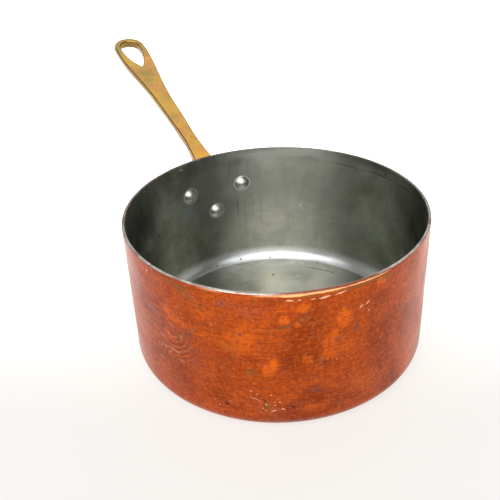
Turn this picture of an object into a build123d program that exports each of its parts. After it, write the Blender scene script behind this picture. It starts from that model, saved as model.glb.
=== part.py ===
from build123d import *
import os
from math import cos, hypot, radians, sin, sqrt

# Copper saucepan: a spun copper pan with a wiped tin lining, and a cast brass handle held by three rivets.
# All sizes are in millimetres. The origin is the centre of the pan's underside, +Z is up, and the handle
# points along +X.

# Pan
pan_diameter = 200.0
pan_height = 100.7
copper_thickness = 1.7
tin_thickness = 0.25
base_corner_radius = 10.7
rim_edge_round = 0.4

# Rivets: two side by side near the rim and one below them, each square to the wall
rivet_shank_diameter = 6.0
rivet_head_diameter = 11.2
rivet_head_height = 3.8
rivet_tail_diameter = 9.6
rivet_tail_height = 2.2
upper_rivet_drop = 27.5  # below the rim
lower_rivet_drop = 47.0
upper_rivet_angle = 13.0  # degrees to each side of the handle

# Handle: a flange that hugs the wall, and a stem that rises from it and ends in a teardrop eye.
# Lengths along the stem run from the pan's wall, up the slope of the stem's flat top.
flange_thickness = 4.4
flange_lobe_radius = 9.5
flange_waist_radius = 14.0
flange_edge_round = 1.2
stem_slope = 18.2  # degrees above level
stem_root_drop = 14.4  # from the rim down to the stem's top, at the wall
stem_waist_half_width = 5.6
stem_thickness = 6.8
stem_root_depth = 19.5
stem_top_round = 0.9
stem_belly_round = 2.6
eye_centre = 184.4
eye_outer_radius = 13.6
eye_hole_radius = 8.6
eye_hole_tip = 152.3
eye_hole_tip_round = 1.4

# Worked out from those
pan_radius = pan_diameter / 2
tin_outer_radius = pan_radius - copper_thickness
cavity_radius = tin_outer_radius - tin_thickness
flange_outer_radius = pan_radius + flange_thickness
upper_rivet_height = pan_height - upper_rivet_drop
lower_rivet_height = pan_height - lower_rivet_drop
rivet_seats = {
    "rivet_upper_left": (upper_rivet_angle, upper_rivet_height),
    "rivet_upper_right": (-upper_rivet_angle, upper_rivet_height),
    "rivet_lower": (0.0, lower_rivet_height),
}
margin = 1.0  # how far a cutting body starts outside what it cuts

os.makedirs("parts", exist_ok=True)


def seat_plane(angle, height, radius):
    """A plane square to a rivet at a radius, facing away from the pan's axis. The angle is from the handle."""
    outward = Vector(cos(radians(angle)), sin(radians(angle)), 0)
    return Plane(origin=outward * radius + Vector(0, 0, height), z_dir=outward)


def drill_rivet_holes(outer_radius, inner_radius):
    """Drills the three rivet holes from outside one radius to inside another."""
    for angle, height in rivet_seats.values():
        with Locations(seat_plane(angle, height, outer_radius + margin)):
            Hole(rivet_shank_diameter / 2, depth=outer_radius - inner_radius + 2 * margin)


# Copper body: a cup blank with a rounded lower corner, hollowed to one even thickness
with BuildPart() as copper_body:
    with BuildSketch(Plane.XY):
        Circle(pan_radius)
    extrude(amount=pan_height)
    fillet(copper_body.faces().sort_by(Axis.Z)[0].edges(), base_corner_radius)
    offset(amount=-copper_thickness, openings=copper_body.faces().sort_by(Axis.Z)[-1])
    fillet(copper_body.faces().sort_by(Axis.Z)[-1].outer_wire().edges(), rim_edge_round)
    drill_rivet_holes(pan_radius, tin_outer_radius)
copper_body.part.label = "copper_body"
export_step(copper_body.part, "parts/copper_body.step")


# Tin lining: a thin cup that covers the whole inside of the copper, up to the rim
with BuildPart() as tin_lining:
    with BuildSketch(Plane.XY.offset(copper_thickness)):
        Circle(tin_outer_radius)
    extrude(amount=pan_height - copper_thickness)
    fillet(tin_lining.faces().sort_by(Axis.Z)[0].edges(), base_corner_radius - copper_thickness)
    offset(amount=-tin_thickness, openings=tin_lining.faces().sort_by(Axis.Z)[-1])
    drill_rivet_holes(tin_outer_radius, cavity_radius)
tin_lining.part.label = "tin_lining"
export_step(tin_lining.part, "parts/tin_lining.step")


# Flange: a piece of tube as thick as the flange, trimmed to three lobes round the rivets. The two upper
# lobes are joined by a straight top edge, and a hollow waist runs from each of them to the lower lobe.
lobe_offset = (pan_radius + flange_thickness / 2) * sin(radians(upper_rivet_angle))
lobe_rise = upper_rivet_height - lower_rivet_height
lobe_spacing = hypot(lobe_offset, lobe_rise)
waist_reach = sqrt((flange_lobe_radius + flange_waist_radius) ** 2 - (lobe_spacing / 2) ** 2)
waist_centre_offset = lobe_offset / 2 + waist_reach * lobe_rise / lobe_spacing
waist_centre_height = (upper_rivet_height + lower_rivet_height) / 2 - waist_reach * lobe_offset / lobe_spacing

with BuildPart() as flange:
    with BuildSketch(Plane.XY):
        Circle(flange_outer_radius)
        Circle(pan_radius, mode=Mode.SUBTRACT)
    extrude(amount=pan_height)
    with BuildSketch(Plane.YZ):
        with Locations((0, upper_rivet_height)):
            SlotCenterToCenter(2 * lobe_offset, 2 * flange_lobe_radius)
        with Locations((0, lower_rivet_height)):
            Circle(flange_lobe_radius)
        with BuildLine():
            Polyline(
                (-lobe_offset, upper_rivet_height),
                (-waist_centre_offset, waist_centre_height),
                (0, lower_rivet_height),
                (waist_centre_offset, waist_centre_height),
                (lobe_offset, upper_rivet_height),
                close=True,
            )
        make_face()
        with Locations(
            (-waist_centre_offset, waist_centre_height),
            (waist_centre_offset, waist_centre_height),
        ):
            Circle(flange_waist_radius, mode=Mode.SUBTRACT)
    extrude(amount=flange_outer_radius + margin, mode=Mode.INTERSECT)
    fillet(flange.faces().sort_by(Axis.X)[-1].outer_wire().edges(), flange_edge_round)
    drill_rivet_holes(flange_outer_radius, pan_radius)


# Stem: lofted through D-shaped sections, flat on top and rounded below. It is drawn in its own frame, with
# x up the slope from the wall, y across, and z square to the flat top.
slope_direction = Vector(cos(radians(stem_slope)), 0, sin(radians(stem_slope)))
top_normal = Vector(-sin(radians(stem_slope)), 0, cos(radians(stem_slope)))
stem_root = Vector(pan_radius, 0, pan_height - stem_root_drop)
top_plane = Plane(origin=stem_root, x_dir=slope_direction, z_dir=top_normal)
eye_axis = Axis(stem_root + slope_direction * eye_centre, top_normal)

# Station up the stem, half width there, height of the flat top above its plane, and depth of the section
stem_sections = [
    (-8, 18.0, -0.1, stem_root_depth + 5),
    (2, 12.6, 0, stem_root_depth - 3),
    (11, 9.2, 0.1, stem_thickness + 7.2),
    (22, 7.0, 0.2, stem_thickness + 3.0),
    (40, stem_waist_half_width, 0.4, stem_thickness + 0.6),
    (62, stem_waist_half_width + 0.4, 0.6, stem_thickness),
    (88, stem_waist_half_width + 1.1, 0.1, stem_thickness),
    (118, stem_waist_half_width + 2.6, -0.5, stem_thickness),
    (147, stem_waist_half_width + 5.9, -0.6, stem_thickness),
    (166, stem_waist_half_width + 7.7, -0.4, stem_thickness),
    (eye_centre, eye_outer_radius, 0, stem_thickness),
]


def sketch_stem_section(half_width, rise, depth):
    """Draws one section of the stem, centred across it, with its flat top at a height above the plane."""
    with BuildSketch(mode=Mode.PRIVATE) as section:
        with Locations((0, rise - depth / 2)):
            Rectangle(2 * half_width, depth)
        fillet(section.vertices().group_by(Axis.Y)[-1], stem_top_round)
        fillet(section.vertices().group_by(Axis.Y)[0], stem_belly_round)
    add(section.sketch)


with BuildPart() as stem:
    for station, half_width, rise, depth in stem_sections:
        section_origin = stem_root + slope_direction * station
        with BuildSketch(Plane(origin=section_origin, x_dir=(0, 1, 0), z_dir=slope_direction)):
            sketch_stem_section(half_width, rise, depth)
    loft()
    # The nose: the last section's half, turned half round the eye's axis
    with BuildSketch(Plane(origin=section_origin, x_dir=(0, 1, 0), z_dir=slope_direction)):
        sketch_stem_section(half_width, rise, depth)
        split(bisect_by=Plane.YZ, keep=Keep.BOTTOM)
    revolve(axis=eye_axis, revolution_arc=180)


# Handle: the stem and the flange as one casting, cut to fit the wall and pierced for the eye and rivets
with BuildPart() as brass_handle:
    add(stem.part)
    Cylinder(pan_radius, 2 * pan_height + 2 * margin, mode=Mode.SUBTRACT)
    with BuildSketch(top_plane.offset(-2 * stem_thickness)):
        with BuildLine():
            # A teardrop with its blunt point towards the pan
            far_arc = ThreePointArc(
                (eye_centre, eye_hole_radius),
                (eye_centre + eye_hole_radius, 0),
                (eye_centre, -eye_hole_radius),
            )
            tip_arc = ThreePointArc(
                (eye_hole_tip + eye_hole_tip_round, eye_hole_tip_round),
                (eye_hole_tip, 0),
                (eye_hole_tip + eye_hole_tip_round, -eye_hole_tip_round),
            )
            hole_flank = Spline(
                tip_arc @ 0,
                (161, 4.9),
                (171, 7.6),
                far_arc @ 0,
                tangents=((1, 0.5), (1, 0)),
            )
            mirror(hole_flank, about=Plane.XZ)
        make_face()
    extrude(amount=4 * stem_thickness, mode=Mode.SUBTRACT)
    add(flange.part)
brass_handle.part.label = "brass_handle"
export_step(brass_handle.part, "parts/brass_handle.step")


# Rivets: a domed head inside the pan, a shank through all three layers, and a low hammered tail on the
# flange. Head and tail are turned about the rivet's line, which is square to the wall, and then cut to the
# curve of the lining and of the flange. The shank fills its holes.
grip = flange_outer_radius - cavity_radius
half_grip = grip / 2
grip_middle = cavity_radius + half_grip
outward_dome = (rivet_tail_diameter, rivet_tail_height, 1)
inward_dome = (rivet_head_diameter, rivet_head_height, -1)
up = Vector(0, 0, 1)

for name, (angle, height) in rivet_seats.items():
    seat = seat_plane(angle, height, grip_middle)
    with BuildPart() as rivet:
        with BuildSketch(Plane(origin=seat.origin, x_dir=up, z_dir=up.cross(seat.z_dir))):
            for diameter, dome_height, side in (outward_dome, inward_dome):
                dome_radius = (diameter**2 / 4 + dome_height**2) / (2 * dome_height)
                with BuildLine():
                    RadiusArc(
                        (0, side * (half_grip + dome_height)),
                        (diameter / 2, side * half_grip),
                        side * dome_radius,
                    )
                    Polyline(
                        (diameter / 2, side * half_grip),
                        (diameter / 2, 0),
                        (0, 0),
                        (0, side * (half_grip + dome_height)),
                    )
                make_face()
        revolve(axis=Axis(seat.origin, seat.z_dir))
        with BuildSketch(Plane.XY):
            Circle(flange_outer_radius)
            Circle(cavity_radius, mode=Mode.SUBTRACT)
        extrude(amount=pan_height, mode=Mode.SUBTRACT)
        with BuildSketch(seat.offset(-half_grip - margin)):
            Circle(rivet_shank_diameter / 2)
        extrude(amount=grip + 2 * margin)
    rivet.part.label = name
    export_step(rivet.part, "parts/" + name + ".step")
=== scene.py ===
"""A tinned copper saucepan with a riveted brass handle, finished and lit for a product picture."""

import logging
import math
from collections.abc import Callable, Iterator
from contextlib import contextmanager
from dataclasses import dataclass, field, replace
from enum import Enum
from functools import cached_property

import bpy
from mathutils import Matrix, Vector, noise


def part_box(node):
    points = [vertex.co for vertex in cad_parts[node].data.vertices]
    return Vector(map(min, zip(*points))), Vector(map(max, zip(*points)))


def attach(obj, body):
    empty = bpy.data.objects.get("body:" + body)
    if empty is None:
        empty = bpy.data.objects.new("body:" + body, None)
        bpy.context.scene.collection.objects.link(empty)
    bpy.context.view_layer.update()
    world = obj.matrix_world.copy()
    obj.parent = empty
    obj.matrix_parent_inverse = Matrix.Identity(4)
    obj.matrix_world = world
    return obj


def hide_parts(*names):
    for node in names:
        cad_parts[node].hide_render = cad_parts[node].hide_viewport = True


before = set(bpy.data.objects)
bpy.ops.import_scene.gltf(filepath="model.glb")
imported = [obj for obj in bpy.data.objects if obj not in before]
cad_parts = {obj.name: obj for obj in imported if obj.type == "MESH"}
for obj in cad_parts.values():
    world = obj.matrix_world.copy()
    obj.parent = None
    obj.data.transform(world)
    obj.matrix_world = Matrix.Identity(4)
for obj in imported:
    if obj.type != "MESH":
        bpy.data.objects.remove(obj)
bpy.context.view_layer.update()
MM = 0.001
TOUCH = 0.1 * MM  # how near a point has to be to count as on a face or an axis
PAN_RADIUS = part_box("copper_body")[1].x
PAN_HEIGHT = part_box("copper_body")[1].z
WHITE = (1.0, 1.0, 1.0)
LEVEL = (1.0, 1.0, 0.0)  # keeps a vector's level part when it is multiplied by it
LOG = logging.getLogger("saucepan")

Triple = tuple[float, float, float]  # a colour, a point or a direction
Socket = bpy.types.NodeSocket
Piece = bpy.types.Object


class Pick(Enum):
    """The kind of mesh element that an edit works on."""

    VERTS = "VERT"
    EDGES = "EDGE"
    FACES = "FACE"


@dataclass(frozen=True)
class Mark:
    """A stain, scratch or worn patch on a flat layout of a surface.

    A mark on the wall is placed by its bearing round the pan from the handle, in degrees, and its height. A
    mark on the floor is placed by its X and Y. Sizes are in millimetres.
    """

    across: float
    up: float
    length: float
    width: float
    turn: float = 0.0  # degrees
    strength: float = 1.0
    core: float = 0.35  # the part of its reach where it is at full strength
    on_wall: bool = True

    @property
    def place(self) -> tuple[float, float]:
        """The mark's middle on the flat layout, in metres."""
        across = math.radians(self.across - 180) * PAN_RADIUS if self.on_wall else self.across * MM
        return across, self.up * MM

    def copies(self) -> "list[Mark]":
        """List the mark, and its copy a whole turn away where it crosses the layout's seam.

        Returns:
            One or two marks.
        """
        reach = math.degrees(self.length * MM / 2 / PAN_RADIUS)
        if self.on_wall and self.across < reach:
            return [self, replace(self, across=self.across + 360)]
        if self.on_wall and self.across > 360 - reach:
            return [self, replace(self, across=self.across - 360)]
        return [self]


Marks = tuple[Mark, ...]


def marks(*rows: tuple[float, ...], **shared: float) -> Marks:
    """Make marks from rows of their values, up to the last unusual one, and values that all share."""
    return tuple(Mark(*row, **shared) for row in rows)


def outward(bearing: float) -> Vector:
    """Give the level direction at a bearing round the pan from the handle, in radians."""
    return Vector((math.cos(bearing), math.sin(bearing), 0))


def clear_selection() -> None:
    """Deselect every object, so that the next operator acts on one piece only."""
    for other in bpy.context.selected_objects:
        other.select_set(False)


def take(piece: Piece) -> None:
    """Make a piece the only selected object and the active one.

    Args:
        piece: The object that the next operators act on.
    """
    clear_selection()
    piece.select_set(True)
    bpy.context.view_layer.objects.active = piece


@contextmanager
def editing(piece: Piece, pick: Pick = Pick.VERTS) -> Iterator[None]:
    """Enter edit mode on a piece with nothing selected, and leave it at the end.

    Args:
        piece: The mesh object to edit.
        pick: The kind of element that the selection is made of.

    Yields:
        Nothing; the body of the with block runs in edit mode.
    """
    take(piece)
    bpy.ops.object.mode_set(mode="EDIT")
    bpy.ops.mesh.select_mode(type=pick.value)
    bpy.ops.mesh.select_all(action="DESELECT")
    try:
        yield
    finally:
        bpy.ops.object.mode_set(mode="OBJECT")


def select_edges(piece: Piece, wanted: Callable[[Vector, Vector], bool]) -> None:
    """Select the edges whose two ends pass a test of their places, from within edit mode.

    Args:
        piece: The mesh object in edit mode.
        wanted: Says whether an edge between two places is selected.
    """
    bpy.ops.object.mode_set(mode="OBJECT")
    place = [vertex.co for vertex in piece.data.vertices]
    for edge in piece.data.edges:
        first, second = edge.vertices
        edge.select = wanted(place[first], place[second])
    bpy.ops.object.mode_set(mode="EDIT")


def select_faces(piece: Piece, wanted: Callable[[Vector, Vector], bool]) -> None:
    """Select the faces whose middle and normal pass a test, from within edit mode.

    Args:
        piece: The mesh object in edit mode.
        wanted: Says whether a face with a middle and a normal is selected.
    """
    bpy.ops.object.mode_set(mode="OBJECT")
    for face in piece.data.polygons:
        face.select = wanted(face.center, face.normal)
    bpy.ops.object.mode_set(mode="EDIT")


def settle(piece: Piece) -> None:
    """Move a piece's place and turn into its mesh, so that its object sits at the origin."""
    take(piece)
    bpy.ops.object.transform_apply(location=True, rotation=True, scale=True)


def dress(piece: Piece, slot: str, finish: bpy.types.Material, *nodes: str) -> None:
    """Give a finished piece its material and body, and let it stand for CAD nodes.

    Args:
        piece: The finished piece.
        slot: Not used.
        finish: The material.
        *nodes: The CAD nodes that the piece replaces.
    """
    piece.data.materials.clear()
    piece.data.materials.append(finish)
    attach(piece, "root")
    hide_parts(*nodes)
    LOG.info("%s: %d faces, for %s", piece.name, len(piece.data.polygons), ", ".join(nodes))


def apply_modifier(piece: Piece, kind: str, **settings: object) -> None:
    """Add a modifier to a piece, set it up and apply it.

    Args:
        piece: The object to change.
        kind: Blender's name for the type of modifier.
        **settings: Values for the modifier's own properties.
    """
    take(piece)
    modifier = piece.modifiers.new(kind.title(), kind)
    for name, value in settings.items():
        setattr(modifier, name, value)
    bpy.ops.object.modifier_apply(modifier=modifier.name)


def reshape(piece: Piece, place: Callable[[Vector], Vector]) -> None:
    """Move each vertex of a piece to a new place.

    Args:
        piece: The mesh object to reshape.
        place: Gives a vertex's new place from its old one.
    """
    for vertex in piece.data.vertices:
        vertex.co = place(vertex.co.copy())
    piece.data.update()


def smooth(piece: Piece, sharp_above: float = 40.0) -> None:
    """Shade a piece smooth, except at edges where its faces meet at more than an angle in degrees."""
    take(piece)
    bpy.ops.object.shade_smooth_by_angle(angle=math.radians(sharp_above))


class Nodes:
    """A node tree, with short methods that add nodes to it."""

    def __init__(self, tree: bpy.types.NodeTree) -> None:
        """Take the tree that the nodes go into."""
        self.tree = tree

    def feed(self, socket: Socket, value: object) -> None:
        """Link an output to a socket, or set the socket's own value.

        Args:
            socket: The socket to feed.
            value: An output, a number, a vector or a colour.
        """
        if isinstance(value, Socket):
            self.tree.links.new(value, socket)
        elif socket.type == "RGBA":
            socket.default_value = (*value, 1.0)
        else:
            socket.default_value = value

    def node(self, kind: str, feeds: dict[str | int, object], result: str | int = 0,
             **settings: object) -> Socket:
        """Add a node and set it up.

        Args:
            kind: Blender's name for the kind of node, after ShaderNode.
            feeds: The value or output for each socket that isn't left as it is.
            result: The output that is wanted.
            **settings: Values for the node's own properties.

        Returns:
            The node's output.
        """
        node = self.tree.nodes.new("ShaderNode" + kind)
        for name, value in settings.items():
            setattr(node, name, value)
        for socket, value in feeds.items():
            self.feed(node.inputs[socket], value)
        return node.outputs[result]

    def math(self, operation: str, *values: object) -> Socket:
        """Combine numbers by one of the Math node's operations."""
        return self.node("Math", dict(enumerate(values)), operation=operation)

    def times(self, first: object, second: object) -> Socket:
        """Multiply two numbers, so that a mask holds back another or is weakened."""
        return self.math("MULTIPLY", first, second)

    def vector(self, operation: str, *values: object) -> Socket:
        """Combine vectors into a vector by one of the Vector Math node's operations."""
        return self.node("VectorMath", dict(enumerate(values)), operation=operation)

    def measure(self, operation: str, *values: object) -> Socket:
        """Combine vectors into a number by one of the Vector Math node's operations."""
        return self.node("VectorMath", dict(enumerate(values)), "Value", operation=operation)

    def curve(self, value: Socket, low: float, high: float, start: float = 0.0, end: float = 1.0) -> Socket:
        """Map low to high of a value smoothly onto start to end, and hold it beyond them."""
        feeds = {"Value": value, "From Min": low, "From Max": high, "To Min": start, "To Max": end}
        return self.node("MapRange", feeds, "Result", interpolation_type="SMOOTHSTEP")


class NodeSheet(Nodes):
    """A material's nodes: patterns, masks and relief, and a colour that is laid on tone by tone."""

    def __init__(self, name: str, ground: Triple) -> None:
        """Start a material with a Principled shader.

        Args:
            name: The material's name.
            ground: The colour that the tones are laid on.
        """
        self.material = bpy.data.materials.new(name)
        self.material.use_nodes = True
        super().__init__(self.material.node_tree)
        self.shader = self.tree.nodes["Principled BSDF"]
        self.place = self.node("TexCoord", {}, "Object")
        self.colour = ground

    def stretch(self, scale: Triple, turn: Triple = (0, 0, 0), at: Socket | None = None) -> Socket:
        """Give coordinates, the object's own or others, turned in degrees and stretched along each axis."""
        angles = tuple(math.radians(angle) for angle in turn)
        return self.node("Mapping", {"Vector": at or self.place, "Rotation": angles, "Scale": scale})

    def noise(self, scale: float, detail: float = 4.0, rough: float = 0.55, warp: float = 0.0,
              at: Socket | None = None) -> Socket:
        """Give cloudy noise from 0 to 1, its scale in waves per metre before any stretch."""
        feeds = {"Scale": scale, "Detail": detail, "Roughness": rough, "Distortion": warp}
        return self.node("TexNoise", {"Vector": at or self.place} | feeds, "Fac")

    def line(self, value: Socket, level: float, width: float) -> Socket:
        """Give 1 on lines where a value crosses a level, up to a width from it, and 0 elsewhere."""
        apart = self.math("ABSOLUTE", self.math("SUBTRACT", value, level))
        return self.curve(apart, width, width * 0.25)

    def axis(self, name: str) -> Socket:
        """Give the object's X, Y or Z coordinate, in metres."""
        return self.node("SeparateXYZ", {"Vector": self.place}, name)

    @cached_property
    def wall(self) -> Socket:
        """Coordinates on the pan's wall, laid flat.

        Returns:
            X round the wall from the side opposite the handle, and Y up it, in metres.
        """
        behind, aside = self.times(self.axis("X"), -1.0), self.times(self.axis("Y"), -1.0)
        along = self.times(self.math("ARCTAN2", aside, behind), PAN_RADIUS)
        return self.node("CombineXYZ", {"X": along, "Y": self.axis("Z")})

    def ragged(self, at: Socket, scale: float, reach: float) -> Socket:
        """Stir coordinates, so that the edges of spots placed on them are uneven.

        Args:
            at: The coordinates to stir.
            scale: Waves per metre of the stirring.
            reach: How far a point moves, in metres.

        Returns:
            The stirred coordinates.
        """
        stir = self.node("TexNoise", {"Vector": at, "Scale": scale, "Detail": 3.0}, "Color")
        centred = self.vector("SUBTRACT", stir, (0.5, 0.5, 0.5))
        return self.vector("MULTIPLY_ADD", centred, (2 * reach, 2 * reach, 0.0), at)

    def spot(self, at: Socket, mark: Mark) -> Socket:
        """Give one mark as a mask.

        Args:
            at: The flat coordinates that the mark lies on.
            mark: Where the mark is, and its size.

        Returns:
            The mark's strength in its middle, falling to 0 at its edge.
        """
        turn = (0.0, 0.0, math.radians(mark.turn))
        size = (mark.length * MM / 2, mark.width * MM / 2, 1.0)
        feeds = {"Vector": at, "Location": (*mark.place, 0.0), "Rotation": turn, "Scale": size}
        inside = self.node("Mapping", feeds, vector_type="TEXTURE")
        return self.curve(self.measure("LENGTH", inside), 1.0, mark.core, 0.0, mark.strength)

    def spots(self, at: Socket, placed: Marks) -> Socket:
        """Give several marks as one mask.

        Args:
            at: The flat coordinates that the marks lie on.
            placed: The marks.

        Returns:
            The strongest of the marks at each point.
        """
        first, *others = [copy for mark in placed for copy in mark.copies()]
        mask = self.spot(at, first)
        for mark in others:
            mask = self.math("MAXIMUM", mask, self.spot(at, mark))
        return mask

    def facing(self, direction: Triple) -> Socket:
        """Give 1 where the surface faces a direction, falling to -1 where it faces away from it."""
        return self.measure("DOT_PRODUCT", self.node("TexCoord", {}, "Normal"), direction)

    def distance(self, spot: Triple) -> Socket:
        """Give the distance from a point, in metres."""
        return self.measure("DISTANCE", self.place, spot)

    def near(self, spot: Triple, reach: float) -> Socket:
        """Give 1 at a point, falling to 0 at a reach from it, in metres."""
        return self.curve(self.distance(spot), reach, 0.0)

    def mix(self, amount: object, under: object, over: object) -> Socket:
        """Give a colour with another one laid over it, as strongly as the amount says."""
        return self.node("Mix", {0: amount, 6: under, 7: over}, 2, data_type="RGBA")

    def lay(self, tone: Triple | Socket, amount: Socket) -> None:
        """Lay a tone over the material's colour, as strongly as the amount says."""
        self.colour = self.mix(amount, self.colour, tone)

    def bump(self, height: Socket, depth: float, onto: Socket | None = None, strength: float = 1.0) -> Socket:
        """Give a relief, as deep in metres as a height of 1 is, added onto another if there is one."""
        feeds = {"Distance": depth, "Strength": strength, "Height": height}
        return self.node("Bump", feeds if onto is None else feeds | {"Normal": onto})

    def set(self, **values: object) -> None:
        """Feed or set the shader's sockets; an underscore in a name stands for a space."""
        for name, value in values.items():
            self.feed(self.shader.inputs[name.replace("_", " ")], value)

    def brush_round(self, amount: float) -> None:
        """Turn the grain round the object's vertical axis, so that highlights stretch across it."""
        around = self.node("Tangent", {}, direction_type="RADIAL", axis="Z")
        self.set(Tangent=around, Anisotropic=amount, Anisotropic_Rotation=0.25)

    def finish(self, **values: object) -> bpy.types.Material:
        """Give the material, with its colour and the named sockets fed."""
        self.set(Base_Color=self.colour, **values)
        return self.material


@dataclass(frozen=True)
class WornCopper:
    """Copper polished long ago: red-orange, clouded with tarnish, stained and covered in fine scratches."""

    clean: Triple = (0.45, 0.071, 0.010)
    deep: Triple = (0.25, 0.034, 0.005)
    bright: Triple = (0.80, 0.145, 0.010)
    mauve: Triple = (0.36, 0.095, 0.068)
    olive: Triple = (0.22, 0.105, 0.032)
    slate: Triple = (0.17, 0.070, 0.050)
    worn: Triple = (0.95, 0.52, 0.33)
    # the gold of the painted highlight along the rim's edge
    rim_highlight_gold: Triple = (1.0, 0.50, 0.22)
    dark: Triple = (0.04, 0.012, 0.008)
    tin: Triple = (0.86, 0.80, 0.72)

    mauve_marks: Marks = marks(
        (92, 84, 34, 60, 0, 0.95), (103, 68, 16, 26, 20, 0.75), (207, 62, 30, 70, 0, 0.55),
        (143, 90, 26, 16, 0, 0.35),
        core=0.1,
    )
    bright_marks: Marks = marks(
        (153.5, 83, 9, 8, 18, 0.95), (160.5, 90, 9, 12, -40, 0.75), (158, 80, 4.5, 5, 0, 0.7),
        (152.7, 90.7, 5, 5, 0, 0.5), (173.7, 79, 10, 21, 4, 1, 0.45), (169.5, 67, 13, 20, -25, 0.75),
        (168.5, 56, 14, 12, 10, 0.6), (149.4, 50, 10.5, 19, -14, 1, 0.45), (161.6, 53.5, 8, 8, 0, 0.65),
        (187.8, 95.6, 8, 6, 0, 0.95, 0.6), (114, 73, 30, 8, -30, 0.6), (126, 84, 26, 16, 10, 0.45, 0.1),
        (128, 66, 26, 12, 10, 0.5, 0.1), (112, 57, 13, 4, -28, 0.75), (182, 26, 30, 24, 10, 0.35, 0.1),
        (163, 16, 26, 9, 5, 0.5, 0.1),
    )
    olive_marks: Marks = marks(
        (120, 93, 30, 7, -28, 0.75, 0.2), (113, 97, 12, 7, -10, 0.5, 0.2), (125.5, 87, 9, 8, -60, 0.5),
        (145, 96.5, 2.6, 7, 0, 0.6), (153.6, 78, 13, 5, 25, 0.85, 0.3), (143, 46.6, 9, 9, 0, 0.85, 0.3),
        (173.4, 15.7, 5, 9, 0, 0.7), (147.2, 20, 8, 9, 0, 0.6), (116, 61, 16, 6, -25, 0.5, 0.2),
    )
    slate_marks: Marks = marks(
        (101, 65, 9, 12, 30, 0.75, 0.2), (120, 64, 13, 10, 0, 0.7, 0.2), (178.3, 69, 5, 10, 0, 0.75),
        (171, 66, 5, 7, 0, 0.65), (167, 53, 10, 8, -30, 0.75, 0.2), (164, 31, 16, 8, -20, 0.55, 0.2),
        (112, 22, 26, 3, -4, 0.6, 0.2), (160, 84, 6, 6, 0, 0.4),
    )
    pits: Marks = marks(
        (139.5, 72.4, 1.6, 1.6), (134, 92.6, 1.7, 1.7, 0, 0.8), (104.5, 91, 1.2, 1.2, 0, 0.7),
        (133.2, 18, 5, 3, 0, 0.7), (156.3, 19, 3.4, 2.6, 0, 0.75), (146.9, 23.6, 2.8, 2.2, 0, 0.6),
        (153, 91, 2.6, 1.6, 0, 0.4), (210, 46, 2, 3, 0, 0.6),
    )
    halos: Marks = marks(
        (139.5, 72.4, 4.6, 4.6, 0, 0.5, 0.3), (134, 92.2, 8, 6.5, 0, 0.55, 0.5),
        (104.5, 91, 5.4, 5.4, 0, 0.45, 0.5),
    )
    # bright spots and dashes, partly worn copper and partly painted highlight
    worn_spots_and_glints: Marks = marks(
        (102, 95.6, 1.7, 1.7), (180.1, 83.3, 4.4, 1.3, 38, 0.95), (182.5, 84.3, 4.6, 1.2, 42, 0.95),
        (183.2, 78.3, 2.8, 1, 35, 0.9), (155.8, 96.5, 6, 1.5, -8, 0.85), (158.8, 96.2, 2.6, 1.2, 8, 0.75),
        (163.2, 96, 4, 1, 6, 0.8), (167, 96, 9, 2, 8, 0.9), (172.4, 96.7, 9, 1.4, 8, 0.9),
        (149.7, 16, 5, 1.3, 16, 0.8), (153, 17.6, 3.4, 1.3, -20, 0.85), (147.2, 21, 1.8, 1.3, 0, 0.9),
        (151.9, 23, 1.5, 1.5, 0, 0.8), (150.2, 20.6, 1.5, 1.3, 0, 0.7), (148.9, 28.4, 1.6, 1.3, 0, 0.75),
        (144.2, 29, 1.6, 1.1, 0, 0.7), (142.1, 31, 2.4, 1, 30, 0.65), (143.4, 25, 10, 0.9, -24, 0.5),
        (171.5, 50.5, 1.6, 1, 0, 0.6),
    )
    # painted highlight: thin bright bands along the rim's rolled edge
    rim_highlight_marks: Marks = marks(
        (150, 99.6, 26, 1.5, 0, 0.6, 0.5), (157, 99.5, 24, 2.1, 0, 1, 0.5),
        (167, 99.7, 36, 1.6, 0, 1, 0.55), (182, 99.8, 40, 1.2, 0, 0.9, 0.5),
        (130, 99.7, 20, 1.3, 0, 0.4, 0.4),
    )
    # painted shadow: dark olive bands just below the rim's edge
    rim_shadow_marks: Marks = marks(
        (180, 98.2, 44, 2.4, 0, 0.75, 0.4), (190, 96.5, 20, 6, 0, 0.6, 0.2),
        (160, 98, 30, 1.8, 0, 0.55, 0.4),
    )
    flecked: Marks = marks(
        (148, 22, 30, 24), (134, 17, 34, 14, 5, 0.9), (131, 50, 26, 22, 0, 0.6),
        (169.5, 53, 16, 10, 0, 0.6), (104, 42, 22, 40), (128, 72, 20, 20, 0, 0.5),
        core=0.2,
    )
    bare_rim: Mark = Mark(170, PAN_HEIGHT / MM, 78, 20, 0, 0.85, 0.6)
    crossings: Marks = marks(
        (183, 24, 60, 40, 48), (178, 22, 50, 30, -52), (196, 80, 60, 50, 38), (112, 62, 50, 60, -30),
    )  # where scratches cross, each turned as its scratches run
    swirled: Mark = Mark(113, 50, 36, 34, strength=0.8)
    rippled: Mark = Mark(114, 49, 34, 24, 0, 1.0, 0.4)
    ripple_bearing: float = 113.0  # degrees, of the point that the ripples go round
    ripple_height: float = 60 * MM
    ripple_spacing: float = 3.4 * MM
    ripple_shade: float = 0.55
    ripple_shine: float = 0.45
    scratch_strength: float = 0.34
    fleck_strength: float = 0.75
    grain_depth: float = 0.02 * MM
    dent_depth: float = 0.25 * MM
    coat: float = 0.06  # of old lacquer and grease
    coat_haze: float = 0.22

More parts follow.
